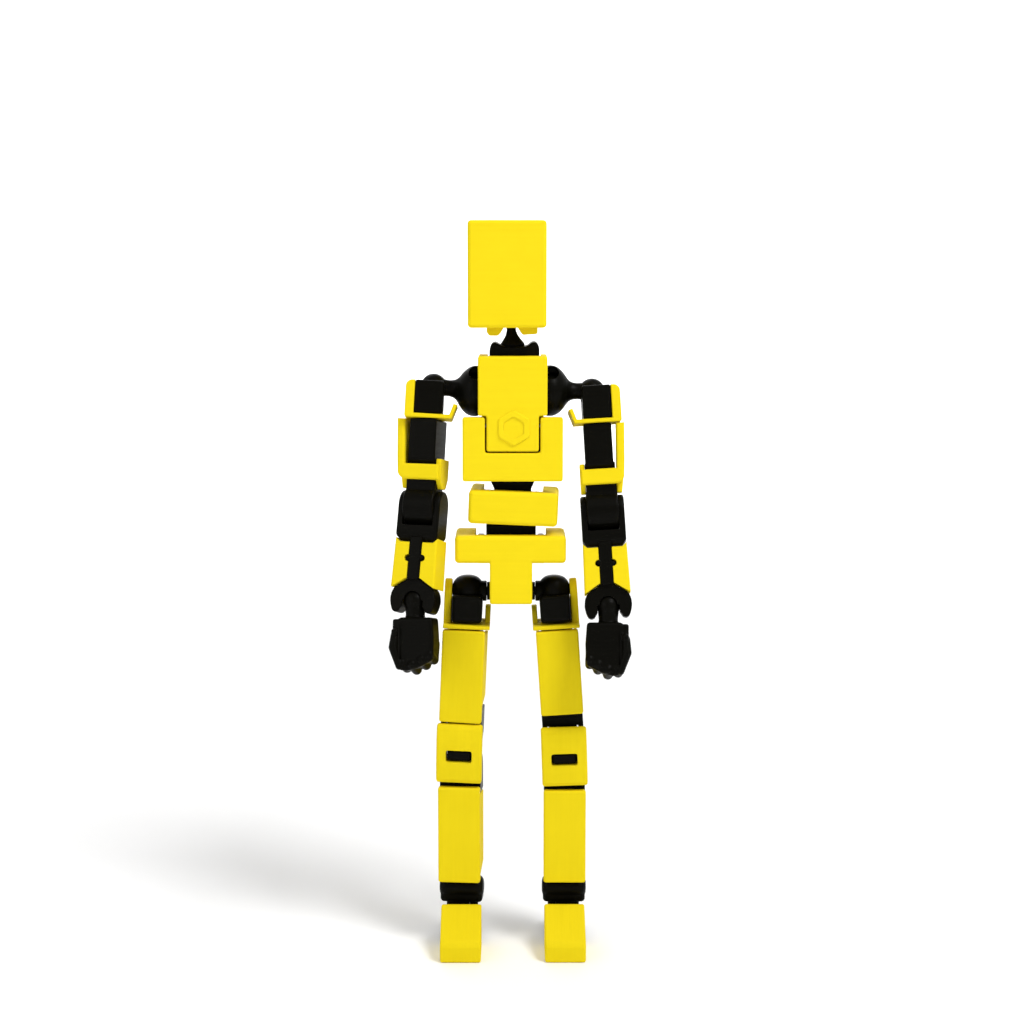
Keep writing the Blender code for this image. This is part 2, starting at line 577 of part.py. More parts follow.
def make_arm(chest, tag, side):
    lift = LINK_LIFT[tag]
    lean = ARM_LEAN[tag]
    link = frame(f"shoulder_{tag}_joint", chest, (side * SHOULDER_X, SHOULDER_Y, SHOULDER_Z - BELLY_Z),
                 (-ARM_SWING, -side * lift, 0))
    arm = frame(f"upper_arm_{tag}_joint", link, (side * LINK_LENGTH, 0, 0), (0, side * (lift - lean), 0))
    bicep = frame(f"bicep_{tag}_joint", arm, (side * SWIVEL_X, 0, 0), (0, 0, side * BICEP_TURN[tag]))
    forearm = frame(f"forearm_{tag}_joint", bicep, (0, 0, -ELBOW_DROP), (-ELBOW_BEND, 0, 0))
    hand = frame(f"hand_{tag}_joint", forearm, (0, 0, -WRIST_DROP), (-WRIST_BEND, side * lean, 0))
    make_shoulder_link(link, tag, side)
    make_upper_arm(arm, tag, side)
    make_bicep(bicep, tag, side)
    make_forearm(forearm, tag, side)
    make_hand(hand, tag, side)


def make_leg(pelvis, tag, side):
    lean = THIGH_LEAN[tag]
    hip = frame(f"hip_{tag}_joint", pelvis, (side * HIP_X, 0, 0))
    socket = frame(f"thigh_socket_{tag}_joint", hip, (0, 0, 0), (0, -side * lean, 0))
    thigh = frame(f"thigh_{tag}_joint", socket, (0, 0, 0), (0, 0, side * THIGH_TURN[tag]))
    knee = frame(f"knee_{tag}_joint", thigh, (0, 0, -THIGH_LENGTH[tag]), (0, side * lean / 2, 0))
    shin = frame(f"shin_{tag}_joint", knee, (0, 0, -KNEE_SPACING), (0, side * lean / 2, 0))
    ankle = frame(f"ankle_{tag}_joint", shin, (0, 0, ANKLE_HEIGHT - knee_height(tag)))
    foot = frame(f"foot_{tag}_joint", ankle, (0, 0, -ROLL_DROP))
    level(foot)
    make_hip(hip, tag, side)
    make_thigh_socket(socket, tag, side)
    make_thigh(thigh, tag, side)
    make_knee(knee, tag, side)
    make_shin(shin, tag, side)
    make_ankle(ankle, tag, side)
    make_foot(foot, tag, side)


def main():
    clear_scene()
    pelvis, chest = make_torso()
    for tag, side in SIDES.items():
        make_arm(chest, tag, side)
        make_leg(pelvis, tag, side)
    bpy.context.view_layer.update()


main()
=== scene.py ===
import json
import math

import bmesh
import bpy
from mathutils import Euler, Matrix, Vector


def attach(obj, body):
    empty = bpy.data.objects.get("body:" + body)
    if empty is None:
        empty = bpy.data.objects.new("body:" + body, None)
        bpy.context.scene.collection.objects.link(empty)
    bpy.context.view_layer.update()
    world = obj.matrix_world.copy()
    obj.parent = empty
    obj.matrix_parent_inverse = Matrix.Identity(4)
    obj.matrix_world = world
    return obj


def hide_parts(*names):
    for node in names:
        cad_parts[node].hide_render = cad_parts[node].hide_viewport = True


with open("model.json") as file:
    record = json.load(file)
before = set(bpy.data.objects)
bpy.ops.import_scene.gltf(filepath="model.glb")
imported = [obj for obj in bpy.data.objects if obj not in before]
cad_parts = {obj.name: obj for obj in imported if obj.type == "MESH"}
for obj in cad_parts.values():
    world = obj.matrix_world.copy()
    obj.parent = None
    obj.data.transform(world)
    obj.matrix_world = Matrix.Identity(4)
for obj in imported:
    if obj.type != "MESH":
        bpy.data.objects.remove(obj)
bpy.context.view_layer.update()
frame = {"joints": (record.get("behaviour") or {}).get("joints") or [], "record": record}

RECORD = frame["record"]
JOINTS = {joint["name"]: joint for joint in frame["joints"]}
BODY_OF = {node: body for body, nodes in RECORD["behaviour"]["bodies"].items() for node in nodes}

MM = 0.001
GAP = 0.35
SIDES = {"l": 1.0, "r": -1.0}

# Heights and lengths in millimetres, the same as the joint skeleton's.
HEIGHT = 136.0
HIP_Z = 67.6
HIP_X = 8.05
WAIST_Z = 76.7
BELLY_Z = 84.7
SHOULDER_Z = 105.0
SHOULDER_X = 7.3
SHOULDER_Y = 0.5
LINK_LENGTH = 7.3
SWIVEL_X = 0.65     # the upper arm hangs a little outside the shoulder ball
NECK_Z = 112.3
HEAD_Z = 118.6
ELBOW_DROP = 22.15
WRIST_DROP = 17.5
THIGH_LENGTH = {"l": 26.9, "r": 26.3}
THIGH_GUARD_END = {"l": -22.7, "r": -24.2}
KNEE_SPACING = 7.5
SLOT_MIDDLE = -4.2  # height of the slot in the knee guard
HEAD_SHIFT = -0.4   # the head sits a little off centre on its peg, and its shell on the socket
SHELL_SHIFT = -0.6
ABDOMEN_SHIFT = 0.3

# Resting pose in degrees.
LINK_LIFT = {"l": -1.0, "r": 6.0}
ARM_LEAN = {"l": 3.3, "r": 3.2}
ARM_SWING = 10.0
BICEP_TURN = {"l": -2.0, "r": 17.0}
ELBOW_BEND = 5.0
WRIST_BEND = -3.0
THIGH_LEAN = {"l": 3.8, "r": 2.5}
THIGH_TURN = {"l": 0.0, "r": 5.0}
ABDOMEN_TURN = -2.0
ABDOMEN_TILT = 2.2
HEAD_LEAN = math.degrees(math.asin(HEAD_SHIFT / (HEAD_Z - NECK_Z)))

# Radii of the joints' halves.
SEAT = 2.4
PEG = 1.5
BORE = 1.9
PIN = 0.8
DIMPLE = 1.2

ROUND = 48      # flat sides of a round piece
FINE = 4        # steps in a rounded edge

# The camera in millimetres and degrees, square to the front and at the height of the head.
CAMERA_AT = (0.11, -337.0, 128.0)
CAMERA_TILT = 7.63
CAMERA_LENS = 64.83
CAMERA_SHIFT = 1.0 / 1024.0


# --- joint frames --------------------------------------------------------------------------------

def joint_frame(parent, joint, turn=(0.0, 0.0, 0.0)):
    """The frame of a joint: its place from the record, its turn in degrees from the parent frame."""
    angles = Euler([math.radians(angle) for angle in turn])
    rotation = parent.to_quaternion() @ angles.to_quaternion()
    return Matrix.Translation(JOINTS[joint]["pos_m"]) @ rotation.to_matrix().to_4x4()


# --- materials -----------------------------------------------------------------------------------

def link(tree, output, entry):
    tree.links.new(output, entry)


def maths(tree, operation, first, second):
    node = tree.nodes.new("ShaderNodeMath")
    node.operation = operation
    for socket, value in zip(node.inputs, (first, second)):
        if isinstance(value, (int, float)):
            socket.default_value = value
        else:
            link(tree, value, socket)
    return node.outputs[0]


def noise(tree, coordinates, stretch, scale, detail=2.0):
    mapping = tree.nodes.new("ShaderNodeMapping")
    mapping.inputs["Scale"].default_value = stretch
    link(tree, coordinates, mapping.inputs["Vector"])
    node = tree.nodes.new("ShaderNodeTexNoise")
    node.inputs["Scale"].default_value = scale
    node.inputs["Detail"].default_value = detail
    link(tree, mapping.outputs["Vector"], node.inputs["Vector"])
    return node.outputs["Fac"]


def bump(tree, height, distance, strength, normal=None):
    node = tree.nodes.new("ShaderNodeBump")
    node.inputs["Distance"].default_value = distance
    node.inputs["Strength"].default_value = strength
    link(tree, height, node.inputs["Height"])
    if normal is not None:
        link(tree, normal, node.inputs["Normal"])
    return node.outputs["Normal"]


def rounded_normal_and_highlight_mask(tree):
    """A rounded normal, and a mask that is 1 along edges and 0 on flats, which lays a painted highlight along the
    edges.
    """
    soft = tree.nodes.new("ShaderNodeBevel")
    soft.samples = 4
    soft.inputs["Radius"].default_value = 0.16 * MM
    plain = tree.nodes.new("ShaderNodeNewGeometry")
    dot = tree.nodes.new("ShaderNodeVectorMath")
    dot.operation = "DOT_PRODUCT"
    link(tree, soft.outputs["Normal"], dot.inputs[0])
    link(tree, plain.outputs["Normal"], dot.inputs[1])
    ramp = tree.nodes.new("ShaderNodeMapRange")
    ramp.inputs["From Min"].default_value = 0.99
    ramp.inputs["From Max"].default_value = 0.8
    link(tree, dot.outputs["Value"], ramp.inputs["Value"])
    return soft.outputs["Normal"], ramp.outputs["Result"]


def plastic(name, colour, dark, edge, roughness, specular, layers, layer_height, relief):
    """Printed plastic: fine layer lines along one axis, faint streaks, blotches, and a painted highlight along the
    edges in the lighter edge colour.
    """
    material = bpy.data.materials.new(name)
    material.use_nodes = True
    tree = material.node_tree
    shader = tree.nodes["Principled BSDF"]
    shader.inputs["Specular IOR Level"].default_value = specular
    place = tree.nodes.new("ShaderNodeTexCoord").outputs["Object"]
    across = Vector((30.0, 30.0, 30.0))
    across["XYZ".index(layers)] = 900.0
    streaks = noise(tree, place, across, 2.2, 3.0)
    blotches = noise(tree, place, (1.0, 1.0, 1.0), 160.0)
    grain = noise(tree, place, (1.0, 1.0, 1.0), 5200.0)
    wave = tree.nodes.new("ShaderNodeTexWave")
    wave.bands_direction = layers
    wave.inputs["Scale"].default_value = math.tau / (20.0 * layer_height * MM)
    wave.inputs["Distortion"].default_value = 0.35
    wave.inputs["Detail"].default_value = 1.0
    wave.inputs["Detail Scale"].default_value = 1.4
    link(tree, place, wave.inputs["Vector"])
    rounded, edges = rounded_normal_and_highlight_mask(tree)

    mix = tree.nodes.new("ShaderNodeMix")
    mix.data_type = "RGBA"
    mix.inputs["A"].default_value = (*dark, 1.0)
    mix.inputs["B"].default_value = (*colour, 1.0)
    share = maths(tree, "ADD", maths(tree, "MULTIPLY", streaks, 0.7), maths(tree, "MULTIPLY", blotches, 0.65))
    link(tree, share, mix.inputs["Factor"])
    # Painted highlight: the lighter edge colour is mixed into the base colour along the edges.
    painted_edge_highlight = tree.nodes.new("ShaderNodeMix")
    painted_edge_highlight.data_type = "RGBA"
    painted_edge_highlight.inputs["B"].default_value = (*edge, 1.0)
    link(tree, mix.outputs["Result"], painted_edge_highlight.inputs["A"])
    link(tree, maths(tree, "MULTIPLY", edges, 0.5), painted_edge_highlight.inputs["Factor"])
    link(tree, painted_edge_highlight.outputs["Result"], shader.inputs["Base Color"])

    uneven = maths(tree, "MULTIPLY", maths(tree, "SUBTRACT", streaks, 0.5), 0.22)
    gloss = maths(tree, "ADD", roughness, uneven)
    link(tree, maths(tree, "SUBTRACT", gloss, maths(tree, "MULTIPLY", edges, 0.06)), shader.inputs["Roughness"])

    ridges = bump(tree, wave.outputs["Fac"], relief * MM, 0.5, rounded)
    waves = bump(tree, streaks, 0.03 * MM, 0.35, ridges)
    link(tree, bump(tree, grain, 0.008 * MM, 0.3, waves), shader.inputs["Normal"])
    return material


# Each paint's third colour is a painted highlight along the edges, lighter than the plastic.
PAINTS = {
    "torso": plastic("yellow_torso_plastic", (0.90, 0.70, 0.012), (0.84, 0.64, 0.009), (0.93, 0.76, 0.03),
                     0.60, 0.03, "Z", 0.30, 0.012),
    "arm": plastic("yellow_arm_plastic", (0.86, 0.67, 0.011), (0.79, 0.60, 0.008), (0.91, 0.74, 0.03),
                   0.60, 0.03, "Z", 0.30, 0.012),
    "leg": plastic("yellow_leg_plastic", (0.82, 0.64, 0.010), (0.74, 0.57, 0.007), (0.88, 0.71, 0.03),
                   0.62, 0.03, "X", 0.32, 0.014),
    "black": plastic("black_plastic", (0.0028, 0.0026, 0.0014), (0.0016, 0.0015, 0.0008), (0.014, 0.013, 0.009),
                     0.38, 0.055, "Z", 0.26, 0.018),
}


# --- solids, drawn in millimetres ----------------------------------------------------------------

def box(x, y, z, bevel=0.0, steps=FINE):
    """A block between three (low, high) pairs, with rounded edges."""
    mesh = bmesh.new()
    bmesh.ops.create_cube(mesh, size=1.0)
    spans = [sorted(span) for span in (x, y, z)]
    for vert in mesh.verts:
        vert.co = Vector(low + (high - low) * (c + 0.5) for (low, high), c in zip(spans, vert.co))
    if bevel:
        bmesh.ops.bevel(mesh, geom=mesh.edges[:], offset=bevel, segments=steps, affect="EDGES", profile=0.5)
    return mesh


def turned(mesh, axis, centre=(0.0, 0.0, 0.0)):
    """Turns a shape made along Z so that it lies along the given axis, and moves it to its centre."""
    if axis == "x":
        bmesh.ops.rotate(mesh, verts=mesh.verts, matrix=Matrix.Rotation(math.pi / 2, 3, "Y"))
    if axis == "y":
        bmesh.ops.rotate(mesh, verts=mesh.verts, matrix=Matrix.Rotation(-math.pi / 2, 3, "X"))
    bmesh.ops.translate(mesh, verts=mesh.verts, vec=centre)
    return mesh


def spun(axis, centre, profile, sides=ROUND):
    """A shape turned round an axis from (distance along it, radius) points that start and end at radius 0."""
    mesh = bmesh.new()
    verts = [mesh.verts.new((radius, 0.0, along)) for along, radius in profile]
    edges = [mesh.edges.new(pair) for pair in zip(verts, verts[1:])]
    bmesh.ops.spin(mesh, geom=verts + edges, axis=(0, 0, 1), cent=(0, 0, 0), dvec=(0, 0, 0),
                   angle=math.tau, steps=sides, use_merge=True)
    bmesh.ops.remove_doubles(mesh, verts=mesh.verts, dist=0.001)
    bmesh.ops.recalc_face_normals(mesh, faces=mesh.faces)
    return turned(mesh, axis, centre)


def rod(axis, centre, radius, low, high, rim=0.15, sides=ROUND):
    """A round bar with rounded rims, from low to high along an axis."""
    place = Vector(centre)
    place["xyz".index(axis)] = 0.0
    start = [(low + rim - rim * math.cos(a), radius - rim + rim * math.sin(a)) for a in quarter()]
    end = [(high - rim + rim * math.cos(a), radius - rim + rim * math.sin(a)) for a in reversed(quarter())]
    return spun(axis, place, [(low, 0.0), *start, *end, (high, 0.0)], sides)


def quarter():
    return [math.pi / 2 * step / 3 for step in range(4)]


def ball(centre, radius, sides=ROUND):
    mesh = bmesh.new()
    bmesh.ops.create_uvsphere(mesh, u_segments=sides, v_segments=sides // 2, radius=radius)
    bmesh.ops.translate(mesh, verts=mesh.verts, vec=centre)
    return mesh


def arc(centre, radius, start, end, steps):
    """Points round a centre, with the angles in degrees."""
    angles = [math.radians(start + (end - start) * step / steps) for step in range(steps + 1)]
    return [(centre[0] + radius * math.cos(a), centre[1] + radius * math.sin(a)) for a in angles]


def flowing(points, steps=4):
    """A smooth line through the points."""
    spots = [Vector(point) for point in points]
    padded = [spots[0], *spots, spots[-1]]
    line = []
    for a, b, c, d in zip(padded, padded[1:], padded[2:], padded[3:]):
        for step in range(steps):
            t = step / steps
            line.append(0.5 * (2 * b + (c - a) * t + (2 * a - 5 * b + 4 * c - d) * t * t
                               + (3 * b - a - 3 * c + d) * t ** 3))
    return [tuple(point) for point in (*line, spots[-1])]


def softened(outline, radius, steps=FINE):
    """A closed outline with its corners rounded."""
    points = [Vector(point) for point in outline]
    result = []
    for before, corner, after in zip(points[-1:] + points[:-1], points, points[1:] + points[:1]):
        back, ahead = before - corner, after - corner
        if back.length < 0.01 or ahead.length < 0.01:
            continue
        reach = min(radius, 0.45 * back.length, 0.45 * ahead.length)
        start, end = corner + back.normalized() * reach, corner + ahead.normalized() * reach
        if back.angle(ahead) > math.radians(172):
            result.append(tuple(corner))
            continue
        for step in range(steps + 1):
            t = step / steps
            result.append(tuple(start * (1 - t) ** 2 + corner * 2 * t * (1 - t) + end * t * t))
    return result


def plate(axis, outline, low, high, bevel=0.0, corner=0.0):
    """A flat outline pushed along an axis: (y, z) points for x, (x, z) for y and (x, y) for z."""
    mesh = bmesh.new()
    spot = {"x": lambda a, b: (low, a, b), "y": lambda a, b: (a, low, b), "z": lambda a, b: (a, b, low)}[axis]
    shape = softened(outline, corner) if corner else outline
    face = mesh.faces.new([mesh.verts.new(spot(a, b)) for a, b in shape])
    grown = bmesh.ops.extrude_face_region(mesh, geom=[face])
    index = "xyz".index(axis)
    push = Vector((0.0, 0.0, 0.0))
    push[index] = high - low
    moved = [item for item in grown["geom"] if isinstance(item, bmesh.types.BMVert)]
    bmesh.ops.translate(mesh, verts=moved, vec=push)
    bmesh.ops.recalc_face_normals(mesh, faces=mesh.faces)
    if bevel:
        rims = [edge for edge in mesh.edges if abs(edge.verts[0].co[index] - edge.verts[1].co[index]) < 1e-6]
        bmesh.ops.bevel(mesh, geom=rims, offset=bevel, segments=FINE, affect="EDGES", profile=0.5,
                        clamp_overlap=True)
    return mesh


def raw_object(mesh, name):
    data = bpy.data.meshes.new(name)
    mesh.to_mesh(data)
    mesh.free()
    thing = bpy.data.objects.new(name, data)
    bpy.context.scene.collection.objects.link(thing)
    return thing


def evaluated(thing):
    graph = bpy.context.evaluated_depsgraph_get()
    return bpy.data.meshes.new_from_object(thing.evaluated_get(graph))


def combined(solids, cuts=()):
    """One shape: the solids joined, and then the cuts taken away."""
    base = raw_object(solids[0], "base")
    used = [base]
    for kind, meshes in (("UNION", solids[1:]), ("DIFFERENCE", cuts)):
        for mesh in meshes:
            tool = raw_object(mesh, "tool")
            boolean = base.modifiers.new(kind.lower(), "BOOLEAN")
            boolean.operation = kind
            boolean.solver = "EXACT"
            boolean.object = tool
            used.append(tool)
    return taken(base, used)


def fused(solids, grid, rounds):
    """One organic shape: the solids melted together and smoothed."""
    joined = bmesh.new()
    for mesh in solids:
        data = bpy.data.meshes.new("part")
        mesh.to_mesh(data)
        mesh.free()
        joined.from_mesh(data)
        bpy.data.meshes.remove(data)
    base = raw_object(joined, "base")
    melt = base.modifiers.new("melt", "REMESH")
    melt.mode = "VOXEL"
    melt.voxel_size = grid
    smooth = base.modifiers.new("smooth", "SMOOTH")
    smooth.factor = 0.5
    smooth.iterations = rounds
    return taken(base, [base])


def taken(base, used):
    data = evaluated(base)
    mesh = bmesh.new()
    mesh.from_mesh(data)
    bpy.data.meshes.remove(data)
    for thing in used:
        old = thing.data
        bpy.data.objects.remove(thing, do_unlink=True)
        bpy.data.meshes.remove(old)
    return mesh


def piece(node, place, paint, shape, side=1.0, flat=True):
    """A finished piece that stands for a node, rides on its body and takes one of the paints."""
    if flat:
        bmesh.ops.dissolve_limit(shape, angle_limit=math.radians(0.3), verts=shape.verts, edges=shape.edges)
        bmesh.ops.remove_doubles(shape, verts=shape.verts, dist=0.002)
    bmesh.ops.scale(shape, verts=shape.verts, vec=(side * MM, MM, MM))
    if side < 0:
        bmesh.ops.reverse_faces(shape, faces=shape.faces)
    for face in shape.faces:
        face.smooth = True
    thing = raw_object(shape, f"fine_{node}")
    thing.data.materials.append(PAINTS[paint])
    if flat:
        thing.data.set_sharp_from_angle(angle=math.radians(38))
        shading = thing.modifiers.new("shading", "WEIGHTED_NORMAL")
        shading.keep_sharp = True
    thing.matrix_world = place
    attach(thing, BODY_OF[node])
    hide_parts(node)
    return thing


def pins(x, z, y=0.0, reach=0.9):
    """Two hinge pins along X, from inside the cheeks at +-x towards the middle."""
    return [rod("x", (0, y, z), PIN, *sorted((sign * (x + 0.3), sign * (x - reach))), sides=24)
            for sign in (1, -1)]


def dimples(x, z, y=0.0, depth=1.1):
    """The two blind holes in a barrel's ends at +-x, where the pins sit."""
    return [rod("x", (0, y, z), DIMPLE, *sorted((sign * (x + 0.5), sign * (x - depth))), rim=0.05, sides=24)
            for sign in (1, -1)]


# --- head and neck -------------------------------------------------------------------------------

def make_head(head):
    low, top = 116.8 - HEAD_Z, HEIGHT - HEAD_Z
    shell = combined([box((SHELL_SHIFT - 7.1, SHELL_SHIFT + 7.1), (-7.4, 7.4), (low, top), 0.7, 5)],
                     [box((-5.2, 5.2), (-5.4, 5.4), (low - 1, top - 1.8), 0.3)])
    piece("head_shell", head, "torso", shell)
    left_jaw = [(-4.35, -1.0), (-4.35, -2.7), (-3.9, -3.35), (-2.3, -3.35), (-1.85, -2.9), (-1.2, -1.9),
                (-1.2, -1.0)]
    right_jaw = [(4.95, -1.0), (4.95, -3.05), (2.2, -3.2), (1.85, -2.7), (1.3, -1.9), (1.3, -1.0)]
    jaws = [plate("y", outline, -3.4, 3.4, 0.25, 0.45) for outline in (left_jaw, right_jaw)]
    socket = combined([box((-4.85, 4.85), (-5.05, 5.05), (-1.5, 4.4), 0.4), *jaws],
                      [ball((0, 0, 0), SEAT), rod("z", (0, 0, 0), 1.75, -4, 0)])
    piece("head_socket", head, "torso", socket)


def make_neck(neck):
    reach = HEAD_Z - NECK_Z
    post = flowing([(0.6, 1.95), (0.85, 2.2), (1.2, 2.28), (1.6, 2.05), (2.2, 1.6), (3.0, 1.12), (3.9, 0.86),
                    (4.5, 0.98), (4.9, 1.3)])
    profile = [*arc((0, 0), 2.0, 180, 76, 12)[:-1], *post, *arc((reach, 0), 2.0, 130, 0, 14)]
    profile[0] = (-2.0, 0.0)
    profile[-1] = (reach + 2.0, 0.0)
    piece("neck_post", neck, "black", spun("z", (0, 0, 0), profile))


# --- torso ---------------------------------------------------------------------------------------

def make_chest(chest):
    neck = NECK_Z - BELLY_Z
    shoulder = SHOULDER_Z - BELLY_Z
    stubs = [rod("x", (0, SHOULDER_Y, shoulder), 1.3, *sorted((sign * 3.5, sign * SHOULDER_X)))
             for sign in (1, -1)]
    knobs = [ball((sign * SHOULDER_X, SHOULDER_Y, shoulder), 2.85) for sign in (1, -1)]
    cup = [(-4.25, -2.9), (4.85, -2.9), (4.9, 0.4), (4.75, 1.2), (4.2, 1.8), (3.5, 1.75), (2.7, 1.1), (2.0, 0.95),
           (-1.6, 1.0), (-2.4, 1.35), (-3.2, 1.8), (-3.9, 1.45), (-4.25, 0.5)]
    cup = [(x, z + neck) for x, z in cup]
    frame_shape = combined(
        [box((-3.7, 3.7), (-4.1, 4.4), (5.6, neck - 2.75), 0.4),
         box((-6.8, 6.8), (-4.1, 4.4), (5.0, 13.9), 0.5),
         plate("y", cup, -3.0, 3.0, 0.4, 0.5), *stubs, *knobs],
        [ball((0, 0, neck), SEAT)])
    piece("chest_frame", chest, "black", frame_shape)

    tee = [(-6.3, 16.2), (-4.75, 16.2), (-4.75, 9.7), (4.75, 9.7), (4.75, 16.2), (6.3, 16.2), (6.3, 26.9),
           (-6.3, 26.9)]
    upper = combined(
        [plate("y", tee, -6.6, -4.45, 0.4, 0.45), box((-6.3, 6.3), (-6.0, 3.4), (25.6, 26.92), 0.35),
         plate("y", arc((0.2, 14.0), 3.3, 30, 330, 5), -6.92, -6.0, 0.28, 0.4)],
        [box((-4.6, 5.2), (-3.4, 4.0), (24.0, 28.0), 0.2),
         plate("y", arc((0.2, 14.0), 2.1, 30, 330, 5), -7.5, -6.76, 0.0, 0.3)])
    piece("chest_plate_upper", chest, "torso", upper)
    bib = [(-9.15, 4.2), (9.15, 4.2), (9.15, 15.9), (5.05, 15.9), (5.05, 9.4), (-5.05, 9.4), (-5.05, 15.9),
           (-9.15, 15.9)]
    piece("chest_plate_lower", chest, "torso", combined([plate("y", bib, -6.6, -4.45, 0.42, 0.5)]))

    back = [(-6.6, 6.0), (6.6, 6.0), (6.6, 14.5), (5.2, 15.6), (5.2, 25.6), (-5.2, 25.6), (-5.2, 15.6),
            (-6.6, 14.5)]
    grooves = [rod("x", (0, 6.75, z), 0.4, -3.2, 3.2, 0.3, 16) for z in (18.6, 20.4, 22.2)]
    back_shape = combined([plate("y", back, 4.75, 6.6, 0.45, 0.6)],
                          [*grooves, rod("x", (0, 8.3, 12.0), 2.2, -8, 8),
                           plate("y", arc((0, 8.9), 1.5, 30, 330, 5), 6.2, 7.0, 0.0, 0.15)])
    piece("back_plate", chest, "torso", back_shape)
    wedge = [(-3.4, 0.0), (3.4, 0.0), (3.4, 2.3), (4.45, 4.65), (-4.45, 4.65), (-3.4, 2.3)]
    piece("chest_link", chest, "black",
          combined([rod("x", (0, 0, 0), 2.1, -3.45, 3.45), plate("y", wedge, -2.0, 2.0, 0.2, 0.2)],
                   dimples(3.45, 0)))


def make_abdomen(abdomen):
    low, top, belly = 80.75 - WAIST_Z, 87.0 - WAIST_Z, BELLY_Z - WAIST_Z
    cheeks = [box(sorted((sign * 3.8, sign * 5.2)), (-3.0, 3.0), (low, belly + 1.5), 0.4) for sign in (1, -1)]
    core = combined([box((-5.2, 5.2), (-3.6, 3.6), (low, low + 1.45), 0.3), *cheeks, *pins(3.8, belly)],
                    [rod("z", (0, 0, 0), BORE, low - 1, low + 3)])
    piece("abdomen_core", abdomen, "black", core)
    band = combined([box((ABDOMEN_SHIFT - 8.2, ABDOMEN_SHIFT + 8.2), (-6.3, 5.4), (low + 0.05, top), 0.8, 6)],
                    [box((-5.55, 5.55), (-4.1, 6.5), (low - 1, top + 1), 0.3)])
    piece("abdomen_band", abdomen, "torso", band)


def make_waist(waist):
    floor = 80.75 - WAIST_Z
    piece("waist_link", waist, "black",
          combined([rod("x", (0, 0, 0), 2.3, -4.6, 4.6, 0.3), box((-4.6, 4.6), (-2.2, 2.2), (0, floor - GAP), 0.3),
                    rod("z", (0, 0, 0), PEG, floor - 1, floor + 1.3)], dimples(4.6, 0)))


def make_pelvis(pelvis):
    waist = WAIST_Z - HIP_Z
    cheeks = [box(sorted((sign * 4.95, sign * 6.2)), (-2.4, 3.6), (waist - 3.3, waist + 1.3), 0.4)
              for sign in (1, -1)]
    stubs = [rod("x", (0, 0, 0), 0.85, *sorted((sign * 3.6, sign * (HIP_X + 0.5))), sides=24) for sign in (1, -1)]
    core = combined([box((-6.2, 6.2), (-3.6, 3.6), (waist - 3.35, waist - 2.65), 0.2), *cheeks,
                     box((-3.3, 3.3), (-3.6, 3.2), (-2.0, waist - 2.9), 0.5),
                     rod("x", (0, 0, 0), 1.7, -4.48, 4.48, 0.1), *stubs, *pins(4.95, waist)])
    piece("pelvis_frame", pelvis, "black", core)
    cover = combined([box((-10.3, 10.1), (-6.4, 5.4), (6.15, 11.2), 0.75, 6),
                      box((-3.9, 3.9), (-6.4, -4.4), (-1.45, 8.0), 0.4)],
                     [box((-6.55, 6.55), (-4.0, 6.5), (4.0, 12.0), 0.3)])
    piece("pelvis_plate", pelvis, "torso", cover)


# --- arm -----------------------------------------------------------------------------------------

def make_shoulder_link(link_frame, tag, side):
    bell = flowing([(-1.1, 4.62), (-0.5, 4.7), (0.3, 4.6), (1.1, 4.22), (1.8, 3.6), (2.35, 2.9), (2.8, 2.25),
                    (3.3, 1.8), (3.9, 1.58), (4.7, 1.5), (LINK_LENGTH - 1.6, 1.6)])
    profile = [(-1.5, 0.0), (-1.5, 4.3), (-1.4, 4.5), *bell, (LINK_LENGTH - 1.2, 0.0)]
    shape = combined([spun("x", (0, 0, 0), profile), ball((LINK_LENGTH, 0, 0), 2.4)],
                     [combined([ball((0, 0, 0), 3.4), rod("x", (0, 0, 0), 3.35, -3.0, 0.0)]),
                      rod("y", (-0.2, 0, 3.0), 1.35, -6.0, -0.5, sides=32)])
    piece(f"shoulder_link_{tag}", link_frame, "black", shape, side)


def make_upper_arm(arm, tag, side):
    floor = -5.25
    socket = combined([box((-2.0, 3.3), (-3.6, 3.6), (floor, 0.8), 0.4),
                       rod("z", (SWIVEL_X, 0, 0), PEG, floor - 3.9, floor + 1.0)],
                      [ball((0, 0, 0), 2.75), box((-4.0, 1.2), (-1.75, 1.75), (-1.85, 3.0), 0.2)])
    piece(f"upper_arm_socket_{tag}", arm, "black", socket, side)
    hook = [(3.35, 0.75), *reversed(arc((3.8, -0.45), 1.2, 0, 90, 8)), (5.0, -5.8), (4.7, -6.1), (-3.7, -6.1),
            (-4.6, -3.5), (-3.9, -3.3), (-3.2, -5.35), (3.35, -5.35)]
    guard = combined([plate("y", hook, -3.8, 3.4, 0.22)], [rod("z", (SWIVEL_X, 0, 0), BORE, -8, -3)])
    piece(f"shoulder_guard_{tag}", arm, "arm", guard, side)


